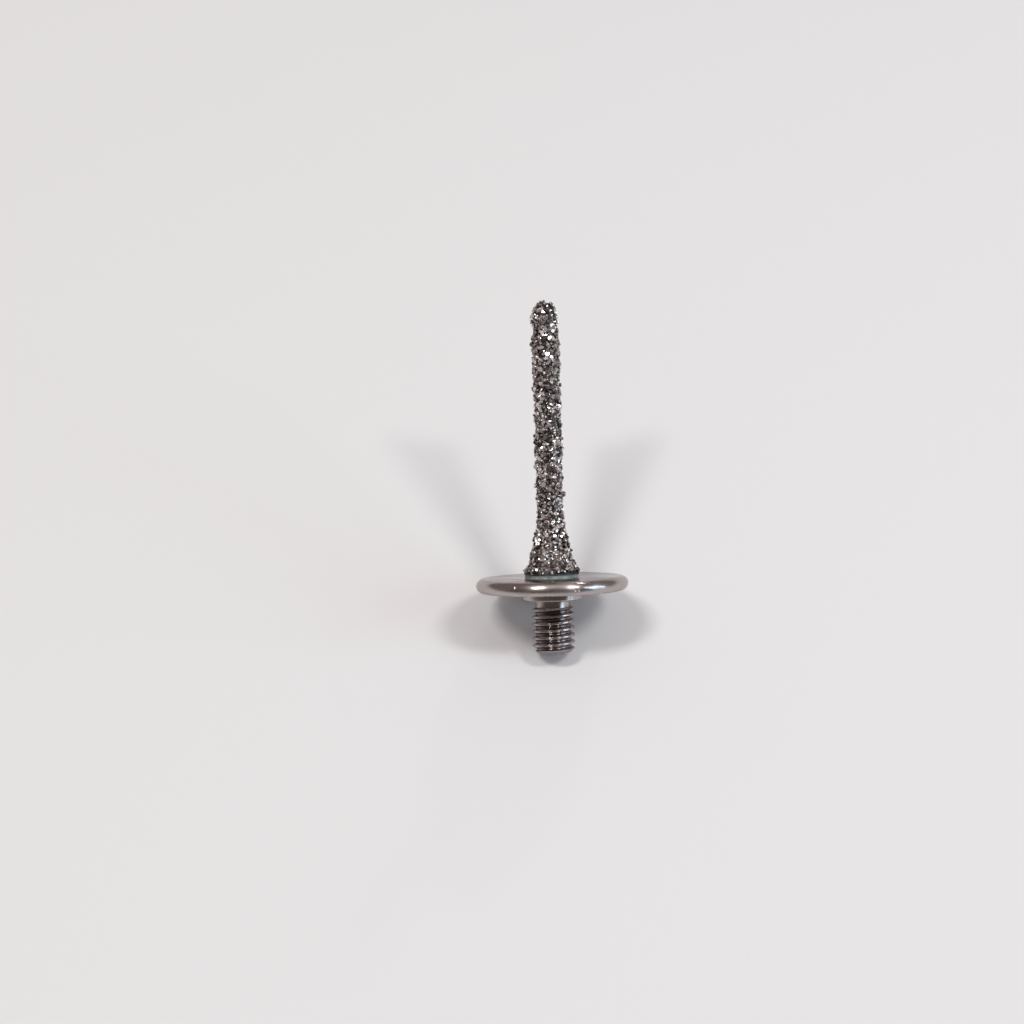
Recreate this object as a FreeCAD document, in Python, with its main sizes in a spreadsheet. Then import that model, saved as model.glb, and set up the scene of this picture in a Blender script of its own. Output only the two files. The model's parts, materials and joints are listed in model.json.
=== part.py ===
import FreeCAD, Part
import math
import os
import random

import Sketcher

# A diastema bur for a horse's cheek teeth, lying as it comes to rest.
# A steel blank is turned in one piece: a threaded shank with a neck and a boss, a round-edged
# stop disc, and a slender spindle with a flared foot. The spindle carries a coat of coarse
# diamond grains, and a band of lacquer rings the bare foot between the coat and the disc.
# Lengths are in millimetres. The blank is drawn upright with its shank's end at height 0, and
# all pieces then lean together until the disc's rim and the shank's end both touch the ground.

# Driving dimensions of the bur
SIZES = {
    "thread_diameter": 6.0,      # crest of the M6 thread
    "thread_length": 6.4,        # shank's end to the neck
    "thread_lead_in": 0.55,      # 45 degree bevel at the shank's end
    "thread_run_out": 0.3,       # 45 degree bevel beside the neck
    "neck_diameter": 4.8,
    "neck_length": 1.2,
    "boss_diameter": 8.5,
    "boss_height": 1.0,
    "boss_bevel": 0.15,
    "disc_diameter": 21.5,
    "disc_thickness": 1.95,
    "foot_diameter": 7.25,       # steel foot under the band and at the start of the flare
    "flare_height": 8.5,         # end of the bare foot to the start of the straight spindle
    "spindle_diameter": 3.1,     # steel under the coat
    "spindle_length": 38.6,      # disc's upper face to the steel tip
    "band_height": 0.8,          # bare foot between the disc and the coat
    "band_wall": 0.3,
    "tip_bevel": 1.0,            # 45 degree bevel at the steel tip, under the coat
    "coat_wall": 0.35,           # bond and grains, at the middle of the grains' heights
    "grain_size": 0.68,          # spacing of the diamond grains
    "grain_relief": 0.3,         # how far a proud grain stands out of the coat
}

# Shares that shape the grit
PROUD_SHARE = 0.16     # proud grains among all
PROUD_SPREAD = 0.4     # how much less than the relief a proud grain may stand out
HIGH_GRAIN = 0.35      # highest of the other grains, in reliefs
LOW_GRAIN = 0.38       # deepest gap, in walls of the coat
GRAIN_WANDER = 0.28    # how far a grain strays from its even place, in grain sizes
ROW_PITCH = 0.87       # spacing of the rows, in grain sizes
LEAST_GRAINS = 5
GRAIN_SEED = 20

UP = FreeCAD.Vector(0, 0, 1)
ROUNDING = 1e-6
SEAM = 1e-5

# A sketch's own base line, axis and origin, and the point number of an arc's centre
BASE_LINE = -1
AXIS_LINE = -2
ORIGIN = (-1, 1)
CENTRE = 3

# Heights of the turned steps above the shank's end, written from the sheet's own cells
NECK_START = "Sizes.thread_length"
BOSS_START = f"{NECK_START} + Sizes.neck_length"
DISC_START = f"{BOSS_START} + Sizes.boss_height"
DISC_MIDDLE = f"{DISC_START} + Sizes.disc_thickness / 2"
DISC_TOP = f"{DISC_START} + Sizes.disc_thickness"
COAT_START = f"{DISC_TOP} + Sizes.band_height"
FLARE_END = f"{COAT_START} + Sizes.flare_height"
STEEL_TIP = f"{DISC_TOP} + Sizes.spindle_length"
BEVEL_START = f"{STEEL_TIP} - Sizes.tip_bevel"

# Radii of the turned steps
THREAD_RADIUS = "Sizes.thread_diameter / 2"
NECK_RADIUS = "Sizes.neck_diameter / 2"
BOSS_RADIUS = "Sizes.boss_diameter / 2"
FOOT_RADIUS = "Sizes.foot_diameter / 2"
SPINDLE_RADIUS = "Sizes.spindle_diameter / 2"
RIM_START = "Sizes.disc_diameter / 2 - Sizes.disc_thickness / 2"
FLARE_DEPTH = "(Sizes.foot_diameter - Sizes.spindle_diameter) / 2"
FLARE_RADIUS = f"(Sizes.flare_height ^ 2 + ({FLARE_DEPTH}) ^ 2) / (2 * ({FLARE_DEPTH}))"

doc = FreeCAD.newDocument("diastema_bur")


def add_sheet():
    """Put every driving dimension in a spreadsheet cell with an alias."""
    sheet = doc.addObject("Spreadsheet::Sheet", "Sizes")
    for row, (alias, size) in enumerate(SIZES.items(), start=1):
        sheet.set(f"A{row}", alias)
        sheet.set(f"B{row}", str(size))
        sheet.setAlias(f"B{row}", alias)
    doc.recompute()
    return sheet


sizes = add_sheet()


def value(expression):
    """The number that an expression of the sheet's cells comes to."""
    return float(sizes.evalExpression(expression))


def turned_corners():
    """Corners of the blank's half section, shank's end to tip: name, radius, height."""
    return [
        ("end_centre", None, "0"),
        ("end_edge", f"{THREAD_RADIUS} - Sizes.thread_lead_in", "0"),
        ("crest_start", THREAD_RADIUS, "Sizes.thread_lead_in"),
        ("crest_end", THREAD_RADIUS, f"{NECK_START} - Sizes.thread_run_out"),
        ("run_out_end", f"{THREAD_RADIUS} - Sizes.thread_run_out", NECK_START),
        ("neck_low", NECK_RADIUS, NECK_START),
        ("neck_high", NECK_RADIUS, BOSS_START),
        ("boss_face", f"{BOSS_RADIUS} - Sizes.boss_bevel", BOSS_START),
        ("boss_low", BOSS_RADIUS, f"{BOSS_START} + Sizes.boss_bevel"),
        ("boss_high", BOSS_RADIUS, DISC_START),
        ("rim_low", RIM_START, DISC_START),
        ("rim_high", RIM_START, DISC_TOP),
        ("foot_low", FOOT_RADIUS, DISC_TOP),
        ("foot_high", FOOT_RADIUS, COAT_START),
        ("spindle_low", SPINDLE_RADIUS, FLARE_END),
        ("spindle_high", SPINDLE_RADIUS, BEVEL_START),
        ("tip_edge", f"{SPINDLE_RADIUS} - Sizes.tip_bevel", STEEL_TIP),
        ("tip", None, STEEL_TIP),
    ]


def turned_bends():
    """Centre of each round stretch by the corner it starts from: radius, height."""
    return {
        "rim_low": (RIM_START, DISC_MIDDLE),
        "foot_high": (f"{SPINDLE_RADIUS} + {FLARE_RADIUS}", FLARE_END),
    }


def section_point(radius, height):
    """Point of the half section, on the axis where the radius is None."""
    return FreeCAD.Vector(value(radius) if radius else 0, value(height), 0)


def add_bend(sketch, start, end, centre):
    """Add a round stretch between two points and say which of its ends is which."""
    circle = Part.Circle(centre, UP, start.distanceToPoint(centre))
    first = circle.parameter(start)
    last = circle.parameter(end)
    if (last - first) % (2 * math.pi) < math.pi + ROUNDING:
        return sketch.addGeometry(Part.ArcOfCircle(circle, first, last)), 1, 2
    return sketch.addGeometry(Part.ArcOfCircle(circle, last, first)), 2, 1


def bind(sketch, kind, name, expression, piece, point):
    """Dimension a point from the origin and tie the dimension to the sheet."""
    place = (*ORIGIN, piece, point)
    index = sketch.addConstraint(Sketcher.Constraint(kind, *place, value(expression)))
    sketch.renameConstraint(index, name)
    sketch.setExpression(f"Constraints.{name}", expression)


def bind_radius(sketch, name, radius, piece, point):
    """Dimension a point's distance from the axis, or put it on the axis."""
    if radius is None:
        sketch.addConstraint(Sketcher.Constraint("PointOnObject", piece, point, AXIS_LINE))
    else:
        bind(sketch, "DistanceX", f"{name}_radius", radius, piece, point)


def draw_section(sketch):
    """Draw the blank's closed half section with its corners dimensioned from the origin."""
    corners = turned_corners()
    bends = turned_bends()
    points = [section_point(radius, height) for _, radius, height in corners]
    pieces = []
    for index, (name, _, _) in enumerate(corners):
        start = points[index]
        end = points[(index + 1) % len(points)]
        if name in bends:
            pieces.append(add_bend(sketch, start, end, section_point(*bends[name])))
        else:
            pieces.append((sketch.addGeometry(Part.LineSegment(start, end)), 1, 2))
    for index, (name, radius, height) in enumerate(corners):
        piece, near, _ = pieces[index]
        before, _, before_end = pieces[index - 1]
        sketch.addConstraint(Sketcher.Constraint("Coincident", before, before_end, piece, near))
        bind_radius(sketch, name, radius, piece, near)
        if height == "0":
            sketch.addConstraint(Sketcher.Constraint("PointOnObject", piece, near, BASE_LINE))
        else:
            bind(sketch, "DistanceY", f"{name}_height", height, piece, near)
        if name in bends:
            bind_radius(sketch, f"{name}_centre", bends[name][0], piece, CENTRE)


def origin_feature(body, role):
    """A body's own origin plane or axis."""
    return next(item for item in body.Origin.OriginFeatures if item.Role == role)


def add_blank(lean):
    """The steel blank, turned in one piece about its axis."""
    body = doc.addObject("PartDesign::Body", "Blank")
    body.Label = "steel_blank"
    body.Placement = lean
    sketch = body.newObject("Sketcher::SketchObject", "TurnedSection")
    sketch.AttachmentSupport = [(origin_feature(body, "XZ_Plane"), "")]
    sketch.MapMode = "FlatFace"
    draw_section(sketch)
    turning = body.newObject("PartDesign::Revolution", "Turning")
    turning.Profile = sketch
    turning.ReferenceAxis = (sketch, ["V_Axis"])
    turning.Angle = 360
    return body


def coat_profile():
    """Middle line of the coat's skin as stretches of length, each with its own position law.

    A stretch is its length and a function that gives radius, height and the outward normal's
    two parts at a distance along it.
    """
    wall = value("Sizes.coat_wall")
    shaft = value(SPINDLE_RADIUS) + wall
    flare = value(FLARE_RADIUS) - wall
    centre_radius = shaft + flare
    start = value(COAT_START)
    flare_end = value(FLARE_END)
    dome_start = value(STEEL_TIP) + wall - shaft
    sweep = math.asin((flare_end - start) / flare)

    def on_flare(distance):
        angle = sweep - distance / flare
        normal = (math.cos(angle), math.sin(angle))
        return centre_radius - flare * normal[0], flare_end - flare * normal[1], normal

    def on_shaft(distance):
        return shaft, flare_end + distance, (1.0, 0.0)

    def on_dome(distance):
        angle = distance / shaft
        normal = (math.cos(angle), math.sin(angle))
        return shaft * normal[0], dome_start + shaft * normal[1], normal

    return [
        (flare * sweep, on_flare),
        (dome_start - flare_end, on_shaft),
        (shaft * math.pi / 2, on_dome),
    ]


def profile_at(stretches, distance):
    """Radius, height and normal at a distance along the coat's middle line."""
    for length, law in stretches[:-1]:
        if distance < length:
            return law(distance)
        distance -= length
    return stretches[-1][1](distance)


def grain_height(chance):
    """Height of one grain's crest above the middle of the coat's skin."""
    relief = value("Sizes.grain_relief")
    if chance.random() < PROUD_SHARE:
        return relief * chance.uniform(1 - PROUD_SPREAD, 1)
    return chance.uniform(-LOW_GRAIN * value("Sizes.coat_wall"), HIGH_GRAIN * relief)


def grain_rows():
    """Rows of grain crests round the coat from its foot to its tip, with each crest's angle."""
    chance = random.Random(GRAIN_SEED)
    grain = value("Sizes.grain_size")
    stretches = coat_profile()
    total = sum(length for length, _ in stretches)
    count = round(total / (grain * ROW_PITCH))
    rows = []
    for row in range(count):
        radius, height, normal = profile_at(stretches, total * row / count)
        grains = max(LEAST_GRAINS, round(2 * math.pi * radius / grain))
        phase = chance.random()
        crests = []
        for index in range(grains):
            turn = index + phase + chance.uniform(-GRAIN_WANDER, GRAIN_WANDER)
            angle = 2 * math.pi * turn / grains
            proud = grain_height(chance)
            shift = chance.uniform(-GRAIN_WANDER, GRAIN_WANDER) * grain * ROW_PITCH if row else 0
            out = radius + proud * normal[0] - shift * normal[1]
            rise = height + (proud * normal[1] + shift * normal[0] if row else 0)
            crests.append((angle, FreeCAD.Vector(out * math.cos(angle), out * math.sin(angle), rise)))
        rows.append(crests)
    return rows


def lace(lower, upper):
    """Triangles between two neighbouring rows, stepping to whichever crest comes next."""
    triangles = []
    turn = 2 * math.pi
    low = 0
    high = 0
    while low < len(lower) or high < len(upper):
        next_low = lower[(low + 1) % len(lower)][0] + turn * ((low + 1) // len(lower))
        next_high = upper[(high + 1) % len(upper)][0] + turn * ((high + 1) // len(upper))
        here = lower[low % len(lower)][1]
        there = upper[high % len(upper)][1]
        if high == len(upper) or (low < len(lower) and next_low <= next_high):
            triangles.append((here, lower[(low + 1) % len(lower)][1], there))
            low += 1
        else:
            triangles.append((here, upper[(high + 1) % len(upper)][1], there))
            high += 1
    return triangles


def flat_face(*points):
    """A flat face with straight edges."""
    return Part.Face(Part.makePolygon([*points, points[0]]))


def steel_under_coat(blank):
    """The blank's own upright faces that the coat is plated on."""
    steel = blank.Shape.copy()
    steel.Placement = FreeCAD.Placement()
    start = value(COAT_START) + ROUNDING
    return [face for face in steel.Faces if face.CenterOfMass.z > start]


def foot_ring(crests, steel):
    """Flat foot of the coat, from its first row of grains in to the steel."""
    start = value(COAT_START)
    edges = [edge for face in steel for edge in face.Edges if edge.BoundBox.ZMax < start + ROUNDING]
    outline = Part.makePolygon([*crests, crests[0]])
    return Part.makeFace([outline, Part.Wire(edges[0])], "Part::FaceMakerBullseye")


def grit_coat(blank):
    """Solid between the faceted grains and the steel's own faces."""
    rows = grain_rows()
    steel = steel_under_coat(blank)
    faces = [foot_ring([point for _, point in rows[0]], steel)]
    for lower, upper in zip(rows, rows[1:]):
        faces += [flat_face(*triangle) for triangle in lace(lower, upper)]
    last = [point for _, point in rows[-1]]
    apex = FreeCAD.Vector(0, 0, value(f"{STEEL_TIP} + Sizes.coat_wall"))
    for index, point in enumerate(last):
        faces.append(flat_face(point, last[(index + 1) % len(last)], apex))
    skin = Part.makeCompound(faces + steel)
    skin.sewShape(SEAM)
    return Part.Solid(skin.Shells[0])


def add_coat(blank, lean):
    """The diamond coat, plated on the blank's spindle and flare."""
    coat = doc.addObject("Part::Feature", "Coat")
    coat.Label = "diamond_coat"
    coat.Shape = grit_coat(blank)
    coat.Placement = lean
    return coat


def add_band(blank, lean):
    """The lacquer ring on the bare foot, from the disc's face to the coat."""
    disc = doc.addObject("Part::Cylinder", "BandDisc")
    disc.setExpression("Radius", f"{FOOT_RADIUS} + Sizes.band_wall")
    disc.setExpression("Height", "Sizes.band_height")
    disc.Placement = lean * FreeCAD.Placement(UP * value(DISC_TOP), FreeCAD.Rotation())
    band = doc.addObject("Part::Cut", "Band")
    band.Label = "base_band"
    band.Base = disc
    band.Tool = blank
    return band


def resting_lean():
    """Placement that lays the bur on its disc's rim and its shank's end.

    The rim's round edge and the first full crest of the shank touch the ground together, and
    the origin lies under the middle of the bur's length.
    """
    reach = value(f"{DISC_MIDDLE} - Sizes.thread_lead_in")
    drop = value(f"{RIM_START} - {THREAD_RADIUS}")
    rim = value("Sizes.disc_thickness / 2")
    tilt = math.atan2(drop, reach) + math.asin(rim / math.hypot(drop, reach))
    crest = value(THREAD_RADIUS)
    lead_in = value("Sizes.thread_lead_in")
    dome = value(f"{SPINDLE_RADIUS} + Sizes.coat_wall")
    far = (value(f"{STEEL_TIP} + Sizes.coat_wall") - dome) * math.cos(tilt) + dome
    near = lead_in * math.cos(tilt) - crest * math.sin(tilt)
    near = min(near, -(crest - lead_in) * math.sin(tilt))
    rise = crest * math.cos(tilt) - lead_in * math.sin(tilt)
    place = FreeCAD.Vector(0, -(far + near) / 2, rise)
    turn = FreeCAD.Rotation(FreeCAD.Vector(1, 0, 0), math.degrees(tilt) - 90)
    return FreeCAD.Placement(place, turn)


def check_document(pieces):
    """Stop if any object failed to build or any piece is empty or broken."""
    for item in doc.Objects:
        if "Invalid" in item.State or "Error" in item.State:
            raise RuntimeError(f"{item.Label} failed: {item.State}")
    for piece in pieces:
        if piece.Shape.isNull() or not piece.Shape.isValid():
            raise RuntimeError(f"{piece.Label} has no valid shape")


lean = resting_lean()
blank = add_blank(lean)
doc.recompute()
pieces = [blank, add_coat(blank, lean), add_band(blank, lean)]
doc.recompute()
check_document(pieces)

os.makedirs("parts", exist_ok=True)
for piece in pieces:
    piece.Shape.exportStep(f"parts/{piece.Label}.step")
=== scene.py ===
import json
import logging
import math
import random
from contextlib import contextmanager
from dataclasses import dataclass
from enum import Enum
from typing import Callable, Iterator, Sequence

import bpy
import numpy as np
from mathutils import Euler, Matrix, Vector, noise


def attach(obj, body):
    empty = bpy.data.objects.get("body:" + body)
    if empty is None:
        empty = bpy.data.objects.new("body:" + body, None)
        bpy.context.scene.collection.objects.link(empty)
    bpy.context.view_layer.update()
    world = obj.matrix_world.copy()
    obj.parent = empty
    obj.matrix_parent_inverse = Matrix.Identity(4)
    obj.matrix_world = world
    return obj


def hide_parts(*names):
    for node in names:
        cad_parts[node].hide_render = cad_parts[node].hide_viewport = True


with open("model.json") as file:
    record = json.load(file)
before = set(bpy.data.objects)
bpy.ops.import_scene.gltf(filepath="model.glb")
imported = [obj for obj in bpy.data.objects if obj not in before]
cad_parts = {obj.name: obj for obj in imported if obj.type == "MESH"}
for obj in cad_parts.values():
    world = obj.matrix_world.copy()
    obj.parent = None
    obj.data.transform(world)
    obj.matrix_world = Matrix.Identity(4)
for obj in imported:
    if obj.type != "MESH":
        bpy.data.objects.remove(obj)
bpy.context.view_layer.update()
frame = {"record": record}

BODY = "root"
MILLIMETRE = 0.001
FULL_TURN = 2 * math.pi
MERGE_DISTANCE = 1e-4

log = logging.getLogger("diastema_bur")

Piece = bpy.types.Object
Socket = bpy.types.NodeSocket
Outline = list[tuple[float, float]]
Span = tuple[float, float]
Place = tuple[float, float, float]
Colour = tuple[float, float, float]
SkinPoint = tuple[float, float, float, float]


class Cut(Enum):
    """Ways to combine two closed pieces."""

    KEEP_COMMON = "INTERSECT"
    JOIN = "UNION"


@dataclass(frozen=True)
class Lean:
    """Where the bur's own upright frame, in millimetres, lies in the row's frame."""

    place: Vector
    tilt: float

    @classmethod
    def from_record(cls, record: dict, shank_middle: float) -> "Lean":
        """Read the lean from the shank's mount.

        Args:
            record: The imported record.
            shank_middle: Height of the mount's point above the shank's end, in millimetres.

        Returns:
            The lean of the bur's frame.
        """
        shank = next(mount for mount in record["mounts"] if mount["name"] == "shank")
        tip_way = -Vector(shank["axis"])
        place = Vector(shank["pos_m"]) - tip_way * shank_middle * MILLIMETRE
        return cls(place, math.atan2(tip_way.z, tip_way.y) - math.pi / 2)

    @property
    def tip_way(self) -> Vector:
        """Direction from the shank's end to the tip."""
        return Matrix.Rotation(self.tilt, 3, "X") @ Vector((0, 0, 1))

    def matrix(self) -> Matrix:
        """Matrix from upright millimetres to the row's frame in metres."""
        turned = Matrix.Rotation(self.tilt, 4, "X") @ Matrix.Scale(MILLIMETRE, 4)
        return Matrix.Translation(self.place) @ turned


def choose(piece: Piece | None) -> None:
    """Deselect everything, then select one piece and make it active.

    Args:
        piece: The object to select, or None for nothing.
    """
    for other in bpy.context.selected_objects:
        other.select_set(False)
    if piece is not None:
        piece.select_set(True)
        bpy.context.view_layer.objects.active = piece


@contextmanager
def editing(piece: Piece) -> Iterator[None]:
    """Open a piece alone in edit mode, and leave edit mode at the end.

    Args:
        piece: The mesh object to edit.
    """
    choose(piece)
    bpy.ops.object.mode_set(mode="EDIT")
    yield
    bpy.ops.object.mode_set(mode="OBJECT")


def named(name: str) -> Piece:
    """Name the piece that was just added and its mesh.

    Args:
        name: The new name.

    Returns:
        The piece.
    """
    piece = bpy.context.object
    piece.name = name
    piece.data.name = name
    return piece


def arc(centre: Span, radius: float, start: float, end: float, steps: int) -> Outline:
    """Points on a round stretch of an outline, ends included.

    Args:
        centre: Radius and height of the arc's centre.
        radius: The arc's radius.
        start: Angle of the first point, in degrees.
        end: Angle of the last point, in degrees.
        steps: Number of stretches between points.

    Returns:
        The arc's points.
    """
    points = []
    for step in range(steps + 1):
        angle = math.radians(start + (end - start) * step / steps)
        points.append((centre[0] + radius * math.cos(angle), centre[1] + radius * math.sin(angle)))
    return points


def share_between(value: float, low: float, high: float) -> float:
    """How far a value has come from one bound to the other, from 0 to 1."""
    return min(1.0, max(0.0, (value - low) / (high - low)))


def draw_line(name: str, outline: Outline) -> Piece:
    """Draw an outline as a line of edges, point by point.

    Args:
        name: Name of the new piece.
        outline: Radius and height of each point.

    Returns:
        The line, in the plane of radius and height.
    """
    choose(None)
    bpy.ops.mesh.primitive_plane_add(size=1, location=(0, 0, 0))
    piece = named(name)
    with editing(piece):
        bpy.ops.mesh.select_all(action="SELECT")
        bpy.ops.mesh.merge(type="CENTER")
        bpy.ops.transform.translate(value=(outline[0][0], 0, outline[0][1]))
        for (radius, height), (next_radius, next_height) in zip(outline, outline[1:]):
            step = (next_radius - radius, 0, next_height - height)
            bpy.ops.mesh.extrude_region_move(TRANSFORM_OT_translate={"value": step})
    return piece


def clean_up(merge: float = MERGE_DISTANCE) -> None:
    """Merge the doubles of the piece in edit mode and turn its faces outward.

    Args:
        merge: Corners nearer than this become one.
    """
    bpy.ops.mesh.select_all(action="SELECT")
    bpy.ops.mesh.remove_doubles(threshold=merge)
    bpy.ops.mesh.normals_make_consistent(inside=False)


def turn(name: str, outline: Outline, steps: int) -> Piece:
    """Turn a solid about the upright axis from its half outline, as on a lathe.

    Args:
        name: Name of the new piece.
        outline: Radius and height of each point, from axis to axis.
        steps: Number of stretches round the axis.

    Returns:
        The turned piece.
    """
    piece = draw_line(name, outline)
    with editing(piece):
        bpy.ops.mesh.select_all(action="SELECT")
        bpy.ops.mesh.spin(steps=steps, angle=FULL_TURN, center=(0, 0, 0), axis=(0, 0, 1))
        clean_up()
    return piece


def apply_modifier(piece: Piece, kind: str, name: str, **settings: object) -> None:
    """Add a modifier with its settings and apply it.

    Args:
        piece: The mesh object.
        kind: Blender's name of the modifier's type.
        name: Name shown for the modifier.
        settings: Values for the modifier's properties.
    """
    choose(piece)
    modifier = piece.modifiers.new(name, kind)
    for key, setting in settings.items():
        setattr(modifier, key, setting)
    bpy.ops.object.modifier_apply(modifier=modifier.name)


def combine(piece: Piece, other: Piece, cut: Cut) -> None:
    """Combine a closed piece with another, which is used up.

    Args:
        piece: The piece that keeps the result.
        other: The piece to combine with it.
        cut: How they are combined.
    """
    apply_modifier(piece, "BOOLEAN", "combine", operation=cut.value, object=other, solver="EXACT")
    bpy.data.objects.remove(other)


def finish_piece(
    piece: Piece, lean: Lean, material: bpy.types.Material, replaces: str | None,
    smooth_angle: float | None,
) -> Piece:
    """Lay a finished piece in the row's frame, dress it and tie it to the bur's body.

    Args:
        piece: The piece, modelled upright in millimetres.
        lean: The bur's lean.
        material: The piece's finish.
        replaces: The solid it stands for, if any.
        smooth_angle: Edges flatter than this many degrees are smooth, or None for flat faces.

    Returns:
        The same piece.
    """
    piece.matrix_world = lean.matrix()
    choose(piece)
    bpy.ops.object.transform_apply(location=True, rotation=True, scale=True)
    if smooth_angle is not None:
        bpy.ops.object.shade_smooth_by_angle(angle=math.radians(smooth_angle))
    piece.data.materials.clear()
    piece.data.materials.append(material)
    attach(piece, BODY)
    if replaces:
        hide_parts(replaces)
    log.info("%s: %d faces", piece.name, len(piece.data.polygons))
    return piece


class NodeTable:
    """A node tree, with short calls to add, fill and join its nodes."""

    def __init__(self, tree: bpy.types.NodeTree) -> None:
        """Take the node tree to work on."""
        self.tree = tree

    def add(self, kind: str, inputs: dict | None = None, **settings: object) -> bpy.types.Node:
        """Add a node.

        Args:
            kind: Blender's type name of the node.
            inputs: Socket name or number to a value or an output socket.
            settings: Values for the node's own properties.

        Returns:
            The new node.
        """
        node = self.tree.nodes.new(kind)
        for key, setting in settings.items():
            setattr(node, key, setting)
        for key, source in (inputs or {}).items():
            self.set(node, key, source)
        return node

    def set(self, node: bpy.types.Node, key: str | int, source: object) -> None:
        """Give a socket a value or join an output to it.

        Args:
            node: The node that has the socket.
            key: The socket's name or number.
            source: A value or an output socket.
        """
        if isinstance(source, Socket):
            self.tree.links.new(source, node.inputs[key])
        else:
            node.inputs[key].default_value = source

    def calculate(self, operation: str, *values: float | Socket) -> Socket:
        """Result of one of Blender's sums on numbers or sockets."""
        return self.add("ShaderNodeMath", dict(enumerate(values)), operation=operation).outputs[0]

    def parts(self, vector: Socket) -> tuple[Socket, Socket, Socket]:
        """The three parts of a vector."""
        node = self.add("ShaderNodeSeparateXYZ", {"Vector": vector})
        return node.outputs["X"], node.outputs["Y"], node.outputs["Z"]

    def remap(self, source: Socket, span: Span, start: float, end: float, soft: bool = False) -> Socket:
        """Stretch a value from one range to another, held at its ends.

        Args:
            source: The value.
            span: Bounds of the range that it comes from.
            start: Result at the first bound.
            end: Result at the second bound.
            soft: Whether the result eases in and out.

        Returns:
            The result's socket.
        """
        node = self.add(
            "ShaderNodeMapRange",
            {"Value": source, "From Min": span[0], "From Max": span[1], "To Min": start, "To Max": end},
            interpolation_type="SMOOTHSTEP" if soft else "LINEAR",
        )
        return node.outputs["Result"]

    def mix_numbers(self, share: Socket, first: float | Socket, second: float | Socket) -> Socket:
        """Mix two numbers by a share."""
        node = self.add("ShaderNodeMix", {"Factor": share, 2: first, 3: second}, data_type="FLOAT")
        return node.outputs["Result"]

    def mix_colours(self, share: Socket, first: Colour | Socket, second: Colour | Socket) -> Socket:
        """Mix two colours by a share.

        Args:
            share: Share of the second colour.
            first: A colour or a socket.
            second: A colour or a socket.

        Returns:
            The colour socket.
        """
        inputs = {"Factor": share}
        for key, source in ((6, first), (7, second)):
            inputs[key] = source if isinstance(source, Socket) else (*source, 1)
        return self.add("ShaderNodeMix", inputs, data_type="RGBA").outputs[2]


class Recipe(NodeTable):
    """A material under construction."""

    def __init__(self, name: str) -> None:
        """Start a plain material.

        Args:
            name: The material's name.
        """
        self.material = bpy.data.materials.new(name)
        self.material.use_nodes = True
        super().__init__(self.material.node_tree)
        self.shader = self.tree.nodes["Principled BSDF"]

    def dress(self, **looks: object) -> None:
        """Set the shader's sockets, each named with _ for a space.

        Args:
            looks: A value or an output socket for each.
        """
        for key, source in looks.items():
            self.set(self.shader, key.replace("_", " "), source)

    def upright(self, lean: Lean) -> Socket:
        """Coordinates in the bur's own frame, in metres, with its axis upright.

        Args:
            lean: The bur's lean.

        Returns:
            The coordinates.
        """
        place = self.add("ShaderNodeTexCoord").outputs["Object"]
        mapping = self.add(
            "ShaderNodeMapping",
            {"Vector": place, "Location": lean.place, "Rotation": Euler((lean.tilt, 0, 0))},
            vector_type="TEXTURE",
        )
        return mapping.outputs["Vector"]

    def round_way(self, lean: Lean) -> Socket:
        """Direction round the bur's axis, the way its turning marks run.

        Args:
            lean: The bur's lean.

        Returns:
            The direction.
        """
        place = self.add("ShaderNodeTexCoord").outputs["Object"]
        from_axis = self.add("ShaderNodeVectorMath", {0: place, 1: lean.place}, operation="SUBTRACT")
        way = self.add(
            "ShaderNodeVectorMath", {0: lean.tip_way, 1: from_axis.outputs["Vector"]},
            operation="CROSS_PRODUCT",
        )
        unit = self.add("ShaderNodeVectorMath", {0: way.outputs["Vector"]}, operation="NORMALIZE")
        return unit.outputs["Vector"]

    def turned(self, upright: Socket) -> Socket:
        """Distance from the axis and height, for marks that run round.

        Args:
            upright: Coordinates in the bur's own frame.

        Returns:
            The distance as X and the height as Y.
        """
        across, back, height = self.parts(upright)
        flat = self.add("ShaderNodeCombineXYZ", {"X": across, "Y": back}).outputs["Vector"]
        radius = self.add("ShaderNodeVectorMath", {0: flat}, operation="LENGTH").outputs["Value"]
        return self.add("ShaderNodeCombineXYZ", {"X": radius, "Y": height}).outputs["Vector"]

    def clouds(self, place: Socket, scale: float, detail: float) -> Socket:
        """Cloudy noise at a number of lumps to the metre."""
        node = self.add("ShaderNodeTexNoise", {"Vector": place, "Scale": scale, "Detail": detail})
        return node.outputs["Fac"]

    def ramp(self, source: Socket, stops: Sequence[tuple[float, Colour]]) -> Socket:
        """Colours along a value.

        Args:
            source: The value to colour.
            stops: Position and colour of each stop, in order.

        Returns:
            The colour socket.
        """
        node = self.add("ShaderNodeValToRGB", {"Fac": source})
        elements = node.color_ramp.elements
        while len(elements) < len(stops):
            elements.new(0.5)
        for element, (position, colour) in zip(elements, stops):
            element.position = position
            element.color = (*colour, 1)
        return node.outputs["Color"]

    def bump(self, height: Socket, distance: float, strength: float = 1.0) -> None:
        """Raise the shader's surface by a height pattern.

        Args:
            height: The pattern.
            distance: Height of the pattern's full range, in metres.
            strength: Share of the effect.
        """
        node = self.add("ShaderNodeBump", {"Height": height, "Distance": distance, "Strength": strength})
        self.dress(Normal=node.outputs["Normal"])


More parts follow.
